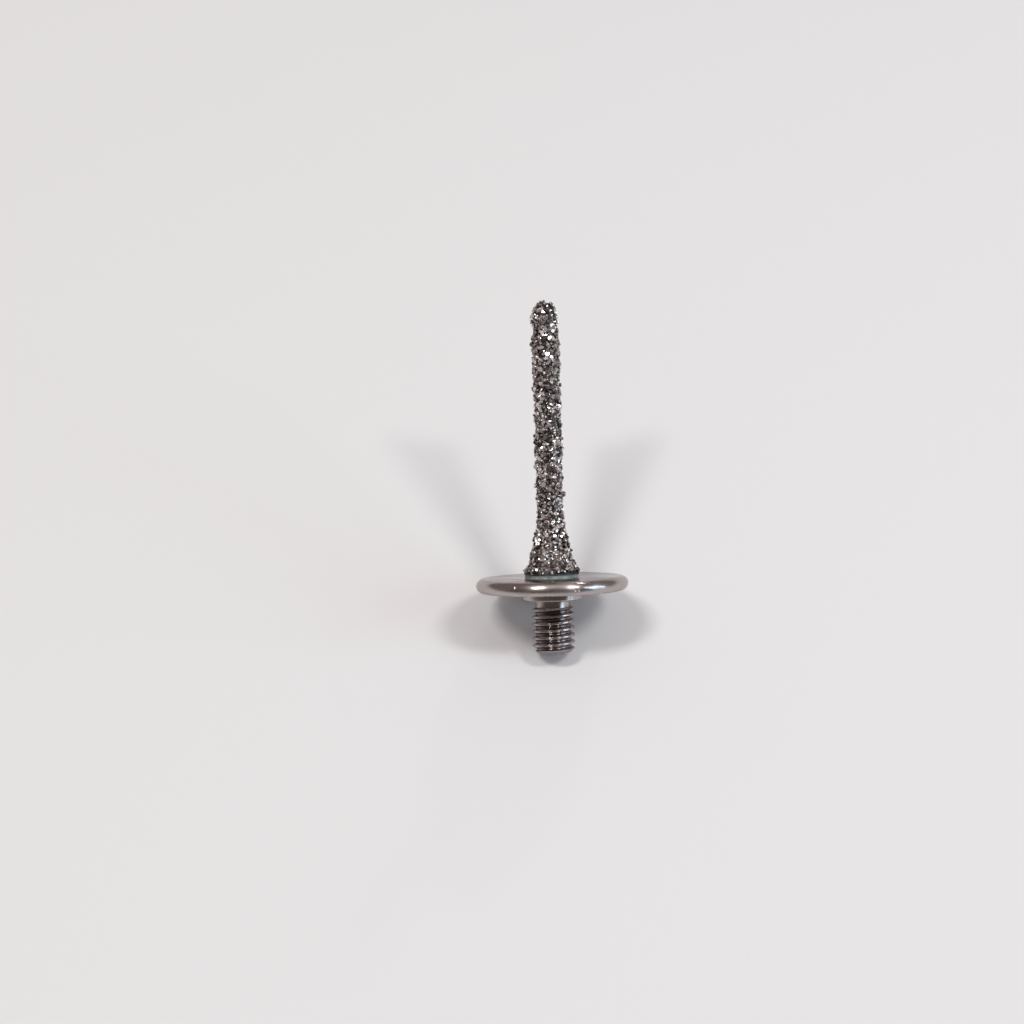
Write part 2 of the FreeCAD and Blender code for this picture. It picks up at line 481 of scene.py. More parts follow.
@dataclass(frozen=True)
class SteelFinish:
    """Turned and polished stainless steel with fine marks, smudges, three small dents and painted shade in
    the thread's grooves.
    """

    colour: Colour = (0.485, 0.437, 0.42)
    edge_tint: Colour = (0.80, 0.775, 0.775)
    # Painted shade: the steel's colour darkens to this towards the thread's root.
    groove_shade_colour: Colour = (0.27, 0.235, 0.242)
    groove_radii: Span = (0.00262, 0.00299)
    thread_end: Span = (0.0062, 0.0065)
    thread_polish: float = 0.12
    face_polish: float = 0.13
    face_edge: Span = (0.0095, 0.0099)
    face_height: Span = (0.01050, 0.01054)
    polish: float = 0.24
    smudge: float = 0.36
    smudge_scale: float = 300.0
    smudge_detail: float = 5.0
    smudge_span: Span = (0.45, 0.72)
    dents: tuple[Place, ...] = (
        (-0.005155, -0.009357, 0.009930), (0.003100, -0.010282, 0.009430), (0.003570, -0.010121, 0.009388)
    )
    dent_reach: float = 0.00032
    dent_depth: float = 0.00019
    mark_scale: float = 5200.0
    mark_detail: float = 3.0
    mark_depth: float = 0.0000022
    across_marks: float = 0.86
    quarter_turn: float = 0.25

    def material(self, lean: Lean) -> bpy.types.Material:
        """Build the material.

        Args:
            lean: The bur's lean, which centres the turning marks on its axis.

        Returns:
            The steel material.
        """
        recipe = Recipe("polished_steel")
        place = recipe.upright(lean)
        turned = recipe.turned(place)
        radius, height, _ = recipe.parts(turned)
        groove = self.groove_share(recipe, radius, height)
        smooth = recipe.mix_numbers(groove, self.polish, self.thread_polish)
        smooth = recipe.mix_numbers(self.face_share(recipe, radius, height), smooth, self.face_polish)
        clouds = recipe.clouds(place, self.smudge_scale, self.smudge_detail)
        smudges = recipe.remap(clouds, self.smudge_span, 0, 1)
        recipe.dress(
            # The colour darkens in the thread's grooves: painted shade.
            Base_Color=recipe.ramp(groove, [(0.0, self.colour), (1.0, self.groove_shade_colour)]),
            Metallic=1.0,
            Roughness=recipe.mix_numbers(smudges, smooth, self.smudge),
            Specular_Tint=(*self.edge_tint, 1),
            Anisotropic=self.across_marks,
            Anisotropic_Rotation=self.quarter_turn,
            Tangent=recipe.round_way(lean),
        )
        recipe.bump(self.relief(recipe, place, turned), self.mark_depth)
        return recipe.material

    def relief(self, recipe: Recipe, place: Socket, turned: Socket) -> Socket:
        """Turning marks, with a few small dents in the disc's rim.

        Args:
            recipe: The steel's recipe.
            place: Upright place on the bur.
            turned: Distance from the axis and height.

        Returns:
            The height in depths of a mark.
        """
        height = recipe.clouds(turned, self.mark_scale, self.mark_detail)
        for dent in self.dents:
            node = recipe.add("ShaderNodeVectorMath", {0: place, 1: dent}, operation="DISTANCE")
            near = recipe.remap(node.outputs["Value"], (0, self.dent_reach), 1, 0)
            bowl = recipe.calculate("MULTIPLY", near, near)
            height = recipe.calculate("MULTIPLY_ADD", bowl, -self.dent_depth / self.mark_depth, height)
        return height

    def face_share(self, recipe: Recipe, radius: Socket, height: Socket) -> Socket:
        """How much a place belongs to the disc's flat upper face.

        Args:
            recipe: The steel's recipe.
            radius: Distance from the axis.
            height: Height above the shank's end.

        Returns:
            A value from 0 to 1.
        """
        inside = recipe.remap(radius, self.face_edge, 1, 0)
        return recipe.calculate("MULTIPLY", inside, recipe.remap(height, self.face_height, 0, 1))

    def groove_share(self, recipe: Recipe, radius: Socket, height: Socket) -> Socket:
        """How deep a place lies in the thread's grooves, where the steel is darkened with painted shade and
        polished smoother.

        Args:
            recipe: The steel's recipe.
            radius: Distance from the axis.
            height: Height above the shank's end.

        Returns:
            A value from 0 on the open steel to 1 at the grooves' root.
        """
        deep = recipe.remap(radius, self.groove_radii, 1, 0)
        return recipe.calculate("MULTIPLY", deep, recipe.remap(height, self.thread_end, 1, 0))


@dataclass(frozen=True)
class BondFinish:
    """Dark plated metal between the diamond grains."""

    stops: tuple[tuple[float, Colour], ...] = ((0.35, (0.02, 0.016, 0.015)), (0.7, (0.1, 0.085, 0.08)))
    lump_scale: float = 3800.0
    lump_detail: float = 4.0
    lump_span: Span = (0.3, 0.7)
    lump_depth: float = 0.00006
    lump_strength: float = 0.8
    roughness: Span = (0.28, 0.5)
    metal: float = 0.85

    def material(self, lean: Lean) -> bpy.types.Material:
        """Build the material.

        Args:
            lean: The bur's lean.

        Returns:
            The bond's material.
        """
        recipe = Recipe("plated_bond")
        lumps = recipe.clouds(recipe.upright(lean), self.lump_scale, self.lump_detail)
        recipe.dress(
            Base_Color=recipe.ramp(lumps, self.stops),
            Metallic=self.metal,
            Roughness=recipe.remap(lumps, self.lump_span, *self.roughness),
        )
        recipe.bump(lumps, self.lump_depth, self.lump_strength)
        return recipe.material


@dataclass(frozen=True)
class GrainFinish:
    """Coarse synthetic diamond, brown-grey, with bright flat faces and painted shade on faces turned sideways
    or down.
    """

    tone_and_shade_name: str
    stops: tuple[tuple[float, Colour], ...] = (
        (0.0, (0.035, 0.028, 0.027)),
        (0.2, (0.24, 0.205, 0.20)),
        (0.5, (0.52, 0.475, 0.46)),
        (0.85, (0.88, 0.85, 0.83)),
    )
    index: float = 2.4
    metal: float = 0.75
    edge_tint: Colour = (0.35, 0.33, 0.33)
    flaw_scale: float = 9000.0
    flaw_span: Span = (0.35, 0.7)
    roughness: Span = (0.08, 0.3)
    wave_scale: float = 3600.0
    wave_depth: float = 0.000012
    detail: float = 2.0

    def material(self, lean: Lean) -> bpy.types.Material:
        """Build the material.

        Args:
            lean: The bur's lean.

        Returns:
            The grains' material.
        """
        recipe = Recipe("diamond_grains")
        # The face attribute holds each face's own tone together with its painted shade.
        tone = recipe.add("ShaderNodeAttribute", attribute_name=self.tone_and_shade_name).outputs["Fac"]
        place = recipe.upright(lean)
        flaws = recipe.clouds(place, self.flaw_scale, self.detail)
        recipe.dress(
            Base_Color=recipe.ramp(tone, self.stops),
            Metallic=self.metal,
            IOR=self.index,
            Roughness=recipe.remap(flaws, self.flaw_span, *self.roughness),
            Specular_Tint=(*self.edge_tint, 1),
        )
        recipe.bump(recipe.clouds(place, self.wave_scale, self.detail), self.wave_depth)
        return recipe.material


@dataclass(frozen=True)
class LacquerFinish:
    """Grey-green stop-off lacquer, brushed on thin, with a painted shadow where it meets the coat."""

    stops: tuple[tuple[float, Colour], ...] = (
        (0.3, (0.06, 0.085, 0.08)),
        (0.5, (0.18, 0.225, 0.212)),
        (0.7, (0.33, 0.38, 0.36)),
    )
    patch_scale: float = 900.0
    patch_detail: float = 4.0
    patch_span: Span = (0.3, 0.7)
    patch_depth: float = 0.00004
    patch_strength: float = 0.6
    roughness: Span = (0.5, 0.28)
    # Painted shadow: the band turns to this near-black colour at the heights just under the coat, with a
    # wavering edge.
    coat_shadow_colour: Colour = (0.022, 0.035, 0.034)
    edge_waver: float = 0.0005
    coat_shadow_heights: Span = (0.01122, 0.01129)

    def material(self, lean: Lean) -> bpy.types.Material:
        """Build the material.

        Args:
            lean: The bur's lean.

        Returns:
            The lacquer's material.
        """
        recipe = Recipe("stop_off_lacquer")
        place = recipe.upright(lean)
        patches = recipe.clouds(place, self.patch_scale, self.patch_detail)
        height = recipe.calculate("MULTIPLY_ADD", patches, self.edge_waver, recipe.parts(place)[2])
        # Painted shadow of the coat's overhang on the band's upper edge.
        painted_coat_shadow = recipe.remap(height, self.coat_shadow_heights, 0, 1)
        recipe.dress(
            Base_Color=recipe.mix_colours(painted_coat_shadow, recipe.ramp(patches, self.stops), self.coat_shadow_colour),
            Roughness=recipe.remap(patches, self.patch_span, *self.roughness),
        )
        recipe.bump(patches, self.patch_depth, self.patch_strength)
        return recipe.material


@dataclass
class TurnedBlank:
    """The steel blank: threaded shank, neck, boss, stop disc and spindle, in millimetres."""

    thread_radius: float = 3.0
    thread_length: float = 6.4
    root_radius: float = 2.44
    pitch: float = 1.0
    flank_slope: float = 60.0
    crest_round: float = 0.06
    root_round: float = 0.14
    crest_phase: float = 0.44
    core_radius: float = 2.2
    lead_in: float = 0.55
    run_out: float = 0.3
    trim_margin: float = 0.03
    neck_radius: float = 2.4
    neck_length: float = 1.2
    boss_radius: float = 4.25
    boss_height: float = 1.0
    boss_round: Span = (0.85, 0.30)
    disc_radius: float = 10.75
    disc_thickness: float = 1.95
    foot_radius: float = 3.625
    band_height: float = 0.8
    flare_height: float = 8.5
    spindle_radius: float = 1.55
    spindle_length: float = 38.6
    tip_bevel: float = 1.0
    edge_break: float = 0.06
    turn_steps: int = 192
    thread_steps: int = 96
    spare_turns: int = 2
    rim_steps: int = 36
    flare_steps: int = 14
    boss_steps: int = 12
    root_steps: int = 5
    small_steps: int = 4
    smooth_angle: float = 28.0

    @property
    def boss_start(self) -> float:
        """Height of the boss's underside above the shank's end."""
        return self.thread_length + self.neck_length

    @property
    def disc_start(self) -> float:
        """Height of the disc's underside."""
        return self.boss_start + self.boss_height

    @property
    def disc_middle(self) -> float:
        """Height of the disc's middle."""
        return self.disc_start + self.disc_thickness / 2

    @property
    def disc_top(self) -> float:
        """Height of the disc's upper face."""
        return self.disc_start + self.disc_thickness

    @property
    def coat_start(self) -> float:
        """Height where the diamond coat begins."""
        return self.disc_top + self.band_height

    @property
    def steel_tip(self) -> float:
        """Height of the steel tip under the coat."""
        return self.disc_top + self.spindle_length

    @property
    def shank_middle(self) -> float:
        """Height of the middle of the shank's full crests."""
        return (self.lead_in + self.thread_length - self.run_out) / 2

    @property
    def flare_radius(self) -> float:
        """Radius of the flare's hollow curve."""
        depth = self.foot_radius - self.spindle_radius
        return (self.flare_height ** 2 + depth ** 2) / (2 * depth)

    def boss_edge(self) -> Outline:
        """The boss's flat rounding, wider than it is high.

        Returns:
            Its points, from the boss's underside up.
        """
        width, height = self.boss_round
        points = []
        for step in range(self.boss_steps + 1):
            angle = math.pi / 2 * step / self.boss_steps
            radius = self.boss_radius - width * (1 - math.sin(angle))
            points.append((radius, self.boss_start - height * math.cos(angle)))
        return points

    def outline(self) -> Outline:
        """Half outline of the turned steel without its thread.

        Returns:
            Its points, from the shank's end to the tip.
        """
        rim = self.disc_thickness / 2
        small = self.edge_break
        soft = self.small_steps
        sweep = math.degrees(math.asin(self.flare_height / self.flare_radius))
        boss_face = self.boss_start - self.boss_round[1]
        flare_centre = (self.spindle_radius + self.flare_radius, self.coat_start + self.flare_height)
        return [
            (0, self.lead_in),
            (self.core_radius, self.lead_in),
            (self.core_radius, self.thread_length - 2 * self.run_out),
            (self.neck_radius, self.thread_length - self.run_out),
            *arc((self.neck_radius + small, boss_face - small), small, 180, 90, soft),
            *self.boss_edge(),
            *arc((self.boss_radius + small, self.disc_start - small), small, 180, 90, soft),
            *arc((self.disc_radius - rim, self.disc_middle), rim, -90, 90, self.rim_steps),
            *arc((self.foot_radius + small, self.disc_top + small), small, 270, 180, soft),
            *arc(flare_centre, self.flare_radius, 180 + sweep, 180, self.flare_steps),
            (self.spindle_radius, self.steel_tip - self.tip_bevel),
            (self.spindle_radius - self.tip_bevel, self.steel_tip),
            (0, self.steel_tip),
        ]

    def thread_profile(self) -> Outline:
        """One pitch of the rolled thread's outline, with round crest and root.

        Returns:
            Its points, from root to root.
        """
        slope = math.radians(self.flank_slope)
        root = self.root_radius + self.root_round
        crest = self.thread_radius - self.crest_round
        depth = (root - crest) * math.cos(slope) - self.root_round - self.crest_round
        crest_half = self.pitch / 2 + depth / math.sin(slope)
        upper = [
            *arc((crest, crest_half), self.crest_round, 0, self.flank_slope, self.small_steps),
            *arc((root, self.pitch / 2), self.root_round, 180 + self.flank_slope, 180, self.root_steps),
        ]
        lower = [(radius, -height) for radius, height in reversed(upper)]
        return [*lower, *upper]

    def thread_rod(self) -> Piece:
        """Wind a right-hand threaded rod, longer than the shank at both ends.

        Returns:
            The closed rod.
        """
        start = self.crest_phase - self.spare_turns * self.pitch
        profile = [(radius, height + start) for radius, height in self.thread_profile()]
        rod = draw_line("threaded_rod", profile)
        turns = math.ceil(self.thread_length / self.pitch) + 2 * self.spare_turns
        apply_modifier(
            rod, "SCREW", "wind", axis="Z", angle=FULL_TURN, screw_offset=self.pitch,
            iterations=turns, steps=self.thread_steps, render_steps=self.thread_steps,
            use_merge_vertices=False,
        )
        with editing(rod):
            bpy.ops.mesh.select_all(action="SELECT")
            bpy.ops.mesh.remove_doubles(threshold=MERGE_DISTANCE)
            bpy.ops.mesh.fill_holes(sides=0)
            clean_up()
        return rod

    def thread_envelope(self) -> Piece:
        """Turn the bevelled form that the threaded rod is trimmed to.

        Returns:
            The closed form.
        """
        outer = self.thread_radius + self.trim_margin
        low = self.thread_radius - self.lead_in
        high = self.thread_radius - self.run_out
        end = self.thread_length
        return turn("thread_envelope", [
            (0, 0),
            (low, 0),
            (outer, outer - low),
            (outer, end - (outer - high)),
            (high, end),
            (0, end),
        ], self.turn_steps)

    def build(self, lean: Lean, finish: SteelFinish) -> Piece:
        """Model the blank, cut its thread and dress it.

        Args:
            lean: The bur's lean.
            finish: The steel's finish.

        Returns:
            The finished blank.
        """
        rod = self.thread_rod()
        combine(rod, self.thread_envelope(), Cut.KEEP_COMMON)
        blank = turn("turned_blank", self.outline(), self.turn_steps)
        combine(blank, rod, Cut.JOIN)
        with editing(blank):
            bpy.ops.mesh.select_all(action="SELECT")
            bpy.ops.mesh.remove_doubles(threshold=MERGE_DISTANCE)
        return finish_piece(
            blank, lean, finish.material(lean), "steel_blank", self.smooth_angle
        )


@dataclass
class DiamondCoat:
    """The coat of coarse diamond grains in its dark bond, in millimetres."""

    blank: TurnedBlank
    bond_wall: float = 0.07
    bond_creep: float = 0.1
    bond_steps: int = 96
    bond_smooth_angle: float = 60.0
    line_step: float = 0.02
    bore_every: int = 40
    skin_every: int = 16
    grain_pitch: Span = (0.40, 0.52)
    coarser_from: Span = (18.0, 38.0)
    first_row: float = 0.12
    row_share: float = 0.87
    row_waver: float = 0.3
    grain_share: float = 1.2
    size_spread: float = 0.38
    stretch: Span = (0.75, 1.25)
    seat: Span = (-0.16, 0.08)
    proud_share: float = 0.09
    proud_height: float = 0.2
    proud_spread: Span = (0.6, 1.3)
    thin_length: float = 5.0
    thin_depth: float = 0.22
    dome_lift: float = 0.16
    dome_lift_span: Span = (0.5, 0.1)
    foot_lip: float = 0.2
    foot_lip_reach: float = 0.5
    swell: float = 0.17
    swell_height: float = 15.8
    swell_reach: float = 1.5
    waist: float = 0.08
    waist_height: float = 12.7
    waist_reach: float = 0.9
    clump_size: float = 0.9
    clump_height: float = 0.2
    # Painted shade: grains within foot_reach of the coat's foot keep only foot_shade of their tone at the
    # foot.
    foot_reach: float = 0.35
    foot_shade: float = 0.3
    tone_curve: Span = (1.2, 1.2)
    tone_spread: float = 0.28
    # Painted shade on the grains' faces: faces turned sideways or down keep at least least_light of their
    # tone, more on the tip's dome.
    least_light: float = 0.12
    dome_light: float = 0.55
    dome_light_from: float = 0.3
    side_light: float = 0.2
    seed: int = 11
    shapes: int = 14
    stone_radius: float = 0.62
    breaks: tuple[int, ...] = (4, 5, 6)
    break_depth: Span = (0.26, 0.42)
    corner_merge: float = 0.03
    tone_and_shade_name: str = "grain_tone_and_shade"

    def middle_line(self, wall: float) -> list[SkinPoint]:
        """Closely spaced points along a skin at a distance from the steel.

        Args:
            wall: Distance of the skin from the steel.

        Returns:
            Radius, height and the outward normal's two parts at even steps.
        """
        blank = self.blank
        shaft = blank.spindle_radius + wall
        flare = blank.flare_radius - wall
        flare_end = blank.coat_start + blank.flare_height
        dome_start = blank.steel_tip + wall - shaft
        sweep = math.asin(blank.flare_height / flare)
        stretches: list[tuple[float, Callable[[float], SkinPoint]]] = [
            (flare * sweep, lambda along: self.flare_point(shaft, flare, flare_end, sweep - along / flare)),
            (dome_start - flare_end, lambda along: (shaft, flare_end + along, 1.0, 0.0)),
            (shaft * math.pi / 2, lambda along: self.dome_point(shaft, dome_start, along / shaft)),
        ]
        points = []
        for length, law in stretches:
            count = max(2, round(length / self.line_step))
            points += [law(length * step / count) for step in range(count)]
        points.append((0.0, dome_start + shaft, 0.0, 1.0))
        return points

    @staticmethod
    def flare_point(shaft: float, flare: float, end: float, angle: float) -> SkinPoint:
        """Point and normal on the flare at an angle below its end."""
        out, rise = math.cos(angle), math.sin(angle)
        return shaft + flare - flare * out, end - flare * rise, out, rise

    @staticmethod
    def dome_point(shaft: float, start: float, angle: float) -> SkinPoint:
        """Point and normal on the tip's dome at an angle above its start."""
        out, rise = math.cos(angle), math.sin(angle)
        return shaft * out, start + shaft * rise, out, rise

    def bond(self, lean: Lean, finish: BondFinish) -> Piece:
        """The plated bond under the grains, as a closed sleeve round the steel and over its tip.

        Args:
            lean: The bur's lean.
            finish: The bond's finish.

        Returns:
            The finished bond.
        """
        foot = self.blank.coat_start - self.bond_creep
        bevel = self.blank.steel_tip - self.blank.tip_bevel
        bore = [point[:2] for point in self.middle_line(0.0)[::self.bore_every] if point[1] < bevel]
        skin = [point[:2] for point in self.middle_line(self.bond_wall)[::self.skin_every]]
        sleeve = turn("plated_bond", [
            (0.0, self.blank.steel_tip),
            *reversed(bore),
            (bore[0][0], foot),
            (skin[0][0], foot),
            *skin,
            (0.0, self.blank.steel_tip + self.bond_wall),
        ], self.bond_steps)
        return finish_piece(
            sleeve, lean, finish.material(lean), "diamond_coat", self.bond_smooth_angle
        )

    def grain_shapes(self, chance: random.Random) -> list[tuple[np.ndarray, list[list[int]]]]:
        """Angular grains of about unit size, each a small ball with flat breaks.

        Args:
            chance: The coat's seeded random draws.

        Returns:
            Vertices and faces of each shape.
        """
        shapes = []
        for number in range(self.shapes):
            choose(None)
            bpy.ops.mesh.primitive_ico_sphere_add(
                subdivisions=1, radius=self.stone_radius, location=(0, 0, 0)
            )
            grain = named(f"grain_shape_{number}")
            with editing(grain):
                for _ in range(chance.choice(self.breaks)):
                    way = Vector([chance.gauss(0, 1) for _ in range(3)]).normalized()
                    bpy.ops.mesh.select_all(action="SELECT")
                    bpy.ops.mesh.bisect(
                        plane_co=way * chance.uniform(*self.break_depth), plane_no=way,
                        use_fill=True, clear_outer=True,
                    )
                clean_up(self.corner_merge)
            vertices = np.array([vertex.co[:] for vertex in grain.data.vertices])
            faces = [list(face.vertices) for face in grain.data.polygons]
            shapes.append((vertices - vertices.mean(axis=0), faces))
            bpy.data.objects.remove(grain)
        return shapes

    def grain_places(self, chance: random.Random) -> list[tuple[Vector, Vector]]:
        """Strew the grains over the bond in staggered uneven rows.

        Args:
            chance: The coat's seeded random draws.

        Returns:
            Each grain's place on the bond and its outward way.
        """
        line = self.middle_line(self.bond_wall)
        travelled = 0.0
        wanted = self.first_row
        places = []
        for (radius, height, out, rise), (next_radius, next_height, _, _) in zip(line, line[1:]):
            travelled += math.hypot(next_radius - radius, next_height - height)
            if travelled < wanted:
                continue
            pitch = self.pitch_at(height)
            wanted += pitch * self.row_share
            count = max(1, round(FULL_TURN * radius / pitch))
            phase = chance.random()
            for index in range(count):
                stray = chance.uniform(-self.row_waver, self.row_waver)
                angle = FULL_TURN * (index + phase + stray) / count
                shift = chance.uniform(-self.row_waver, self.row_waver) * pitch
                east, north = math.cos(angle), math.sin(angle)
                place = Vector((radius * east, radius * north, height))
                along = Vector((-rise * east, -rise * north, out))
                places.append((place + along * shift, Vector((out * east, out * north, rise))))
        return places

    def pitch_at(self, height: float) -> float:
        """Spacing of the grains, a little coarser up the spindle."""
        fine, coarse = self.grain_pitch
        return fine + (coarse - fine) * share_between(height, *self.coarser_from)

    def foot_painted_shade(self, height: float) -> float:
        """Share of its tone that a grain keeps at a height near the coat's foot: painted shade on the lowest
        grains.
        """
        start = self.blank.coat_start
        return self.foot_shade + (1 - self.foot_shade) * share_between(height, start, start + self.foot_reach)

    def swelling(self, height: float) -> float:
        """How much further the grains stand out at a height than on a plain stretch.

        Args:
            height: Height above the shank's end.

        Returns:
            The distance, in millimetres, below zero where the coat is thinner.
        """
        foot, tip = self.blank.coat_start, self.blank.steel_tip
        lift_from, lift_to = self.dome_lift_span
        swell = self.swell * math.exp(-((height - self.swell_height) / self.swell_reach) ** 2)
        swell -= self.waist * math.exp(-((height - self.waist_height) / self.waist_reach) ** 2)
        swell += self.dome_lift * share_between(height, tip - lift_from, tip - lift_to)
        swell += self.foot_lip * (1 - share_between(height, foot, foot + self.foot_lip_reach))
        return swell - self.thin_depth * share_between(height, tip - self.thin_length, tip)

    def stand(self, place: Vector, chance: random.Random) -> float:
        """How far a grain's middle stands out of the bond.

        Args:
            place: The grain's place on the bond.
            chance: The coat's seeded random draws.

        Returns:
            The distance, in millimetres.
        """
        swell = self.swelling(place.z)
        if chance.random() < self.proud_share:
            return self.proud_height * chance.uniform(*self.proud_spread) + swell
        clump = self.clump_height * noise.noise(place / self.clump_size)
        return chance.uniform(*self.seat) + clump + swell

    def face_tone_and_shade(self, corners: np.ndarray, way: Vector, tone: float, chance: random.Random) -> float:
        """Tone of one face of a grain with painted shade: darker the more it looks sideways or down into the
        bond, less so on the tip's dome.

        Args:
            corners: Three of the face's corners, from the grain's middle.
            way: Outward way of the coat at the grain.
            tone: The grain's own tone.
            chance: The coat's seeded random draws.

        Returns:
            The face's tone with its painted shade, from 0 to 1.
        """
        normal = np.cross(corners[1] - corners[0], corners[2] - corners[0])
        normal /= max(1e-9, float(np.linalg.norm(normal)))
        least = self.least_light + self.dome_light * max(0.0, way.z - self.dome_light_from)
        facing = float(normal @ np.array(way[:]))
        # Painted shade by how far the face turns from the coat's outward way.
        painted_light_share = min(1.0, max(least, (facing + self.side_light) / (1 - self.side_light)))
        return share_between(tone + chance.uniform(-self.tone_spread, self.tone_spread), 0, 1) * painted_light_share

    def grains(self, lean: Lean, finish: GrainFinish) -> Piece:
        """All diamond grains as one piece, each its own closed shape.

        Args:
            lean: The bur's lean.
            finish: The grains' finish.

        Returns:
            The finished grains.
        """
        chance = random.Random(self.seed)
        shapes = self.grain_shapes(chance)
        points: list[np.ndarray] = []
        faces: list[list[int]] = []
        tones_and_shades: list[float] = []
        first = 0
        for place, way in self.grain_places(chance):
            vertices, corners = shapes[chance.randrange(len(shapes))]
            size = self.grain_share * self.pitch_at(place.z)
            size *= 1 + chance.uniform(-self.size_spread, self.size_spread)
            stand = self.stand(place, chance)
            spin = Euler([chance.uniform(0, FULL_TURN) for _ in range(3)]).to_matrix()
            stretch = np.array([chance.uniform(*self.stretch) for _ in range(3)])
            corner_places = (vertices * stretch * size) @ np.array(spin).T
            points.append(corner_places + np.array((place + way * stand)[:]))
            tone = chance.betavariate(*self.tone_curve)
            # Painted shade on the grains nearest the coat's foot.
            shade = self.foot_painted_shade(place.z)
            for corner in corners:
                faces.append([first + index for index in corner])
                tones_and_shades.append(shade * self.face_tone_and_shade(corner_places[corner[:3]], way, tone, chance))
            first += len(vertices)
        mesh = bpy.data.meshes.new("diamond_grains")
        mesh.from_pydata(np.concatenate(points).tolist(), [], faces)
        mesh.attributes.new(self.tone_and_shade_name, "FLOAT", "FACE").data.foreach_set("value", tones_and_shades)
        piece = bpy.data.objects.new("diamond_grains", mesh)
        bpy.context.scene.collection.objects.link(piece)
        return finish_piece(piece, lean, finish.material(lean), None, None)

    def build(self, lean: Lean) -> None:
        """Model the bond and the grains."""
        self.bond(lean, BondFinish())
        self.grains(lean, GrainFinish(self.tone_and_shade_name))


@dataclass
class BaseBand:
    """The lacquer ring on the bare foot, with brushed uneven edges, in millimetres."""

    blank: TurnedBlank
    bite: float = 0.01
    wall: float = 0.3
    waist_wall: float = 0.19
    lip_wall: float = 0.32
    foot_bevel: float = 0.06
    waist_span: Span = (0.2, 0.35)
    lip_span: Span = (0.12, 0.05)
    lip_bevel: float = 0.05
    waver: float = 0.05
    droop: float = 0.6
    wave_counts: tuple[int, ...] = (2, 3, 5, 8, 13, 21, 34)
    steps: int = 180
    smooth_angle: float = 40.0
    seed: int = 5

    def build(self, lean: Lean, finish: LacquerFinish) -> Piece:
        """Model the band and dress it.

        Args:
            lean: The bur's lean.
            finish: The lacquer's finish.

        Returns:
            The finished band.
        """
        foot = self.blank.foot_radius
        low, high = self.blank.disc_top, self.blank.coat_start
        inner, outer = foot - self.bite, foot + self.wall
        waist, lip = foot + self.waist_wall, foot + self.lip_wall
        ring = turn("lacquer_band", [
            (inner, low),
            (outer, low),
            (outer - self.foot_bevel, low + self.foot_bevel),
            (waist, low + self.waist_span[0]),
            (waist, high - self.waist_span[1]),
            (lip, high - self.lip_span[0]),
            (lip, high - self.lip_span[1]),
            (lip - self.lip_bevel, high),
            (inner, high),
            (inner, low),
        ], self.steps)
        self.make_uneven(ring, low, high)
        return finish_piece(
            ring, lean, finish.material(lean), "base_band", self.smooth_angle
        )

    def make_uneven(self, ring: Piece, low: float, high: float) -> None:
        """Waver the band's outer wall and upper edge round the foot.

        Args:
            ring: The turned band.
            low: Height of its foot.
            high: Height of its upper edge.
        """
        chance = random.Random(self.seed)
        waves = [(count, chance.uniform(0, FULL_TURN), 1 / count ** 0.5) for count in self.wave_counts]
        total = sum(weight for _, _, weight in waves)
        for vertex in ring.data.vertices:
            angle = math.atan2(vertex.co.y, vertex.co.x)
            share = (vertex.co.z - low) / (high - low)
            swell = sum(weight * math.sin(count * angle + phase) for count, phase, weight in waves) / total
            lift = sum(weight * math.sin(count * angle - phase) for count, phase, weight in waves) / total
            radius = math.hypot(vertex.co.x, vertex.co.y)
            if radius > self.blank.foot_radius + self.bite:
                scale = 1 + self.waver * swell / radius
                vertex.co.x *= scale
                vertex.co.y *= scale
                vertex.co.z += share * self.waver * (lift - self.droop)


class Lamp(Enum):
    """Lamps of the studio: place, width, height, power in watts and colour."""

    LEFT = ((-0.362, -0.10, 1.0), 0.13, 0.30, 3.82, (1.0, 0.999, 0.977))
    RIGHT = ((0.53, -0.13, 1.0), 0.12, 0.28, 3.25, (1.0, 0.999, 0.977))
    BEHIND = ((0.34, 1.0, 0.45), 0.10, 0.05, 0.6, (1.0, 0.98, 0.96))
    WINDOW_NEAR = ((0.86, -0.29, 0.43), 0.155, 0.5, 1.6, (0.64, 0.84, 1.0))
    WINDOW_FAR = ((0.955, -0.11, 0.29), 0.14, 0.5, 1.6, (0.64, 0.84, 1.0))

    def build(self) -> None:
        """Hang the lamp so that it faces the bur."""
        place, width, height, power, colour = self.value
        data = bpy.data.lights.new(self.name.lower(), "AREA")
        data.shape = "RECTANGLE"
        data.size = width
        data.size_y = height
        data.energy = power
        data.color = colour
        lamp = bpy.data.objects.new(self.name.lower(), data)
        bpy.context.scene.collection.objects.link(lamp)
        lamp.location = place
        lamp.rotation_euler = (-Vector(place)).to_track_quat("-Z", "Y").to_euler()


@dataclass(frozen=True)
class Portrait:
    """The camera's place, set so that the disc's middle lands on its pixel."""

    elevation: float = 50.7
    roll: float = 1.65
    distance: float = 0.320
    pixels_per_metre: float = 7080.0
    picture: int = 1024
    disc_pixel: Span = (552.2, 584.15)
    sensor: float = 36.0
    near_limit: float = 0.01

    def build(self, target: Vector) -> None:
        """Make the scene's camera.

        Args:
            target: The disc's middle in the row's frame.
        """
        tilt = math.radians(self.elevation)
        back = Vector((0, -math.cos(tilt), math.sin(tilt)))
        turned = back.to_track_quat("Z", "Y").to_matrix() @ Matrix.Rotation(-math.radians(self.roll), 3, "Z")
        across = (self.disc_pixel[0] - self.picture / 2) / self.pixels_per_metre
        rise = (self.picture / 2 - self.disc_pixel[1]) / self.pixels_per_metre
        data = bpy.data.cameras.new("portrait")
        data.sensor_width = self.sensor
        data.lens = self.sensor * self.pixels_per_metre * self.distance / self.picture
        data.clip_start = self.near_limit
        camera = bpy.data.objects.new("portrait", data)
        bpy.context.scene.collection.objects.link(camera)
        place = target - turned.col[0] * across - turned.col[1] * rise + back * self.distance
        camera.matrix_world = Matrix.Translation(place) @ turned.to_4x4()
        bpy.context.scene.camera = camera


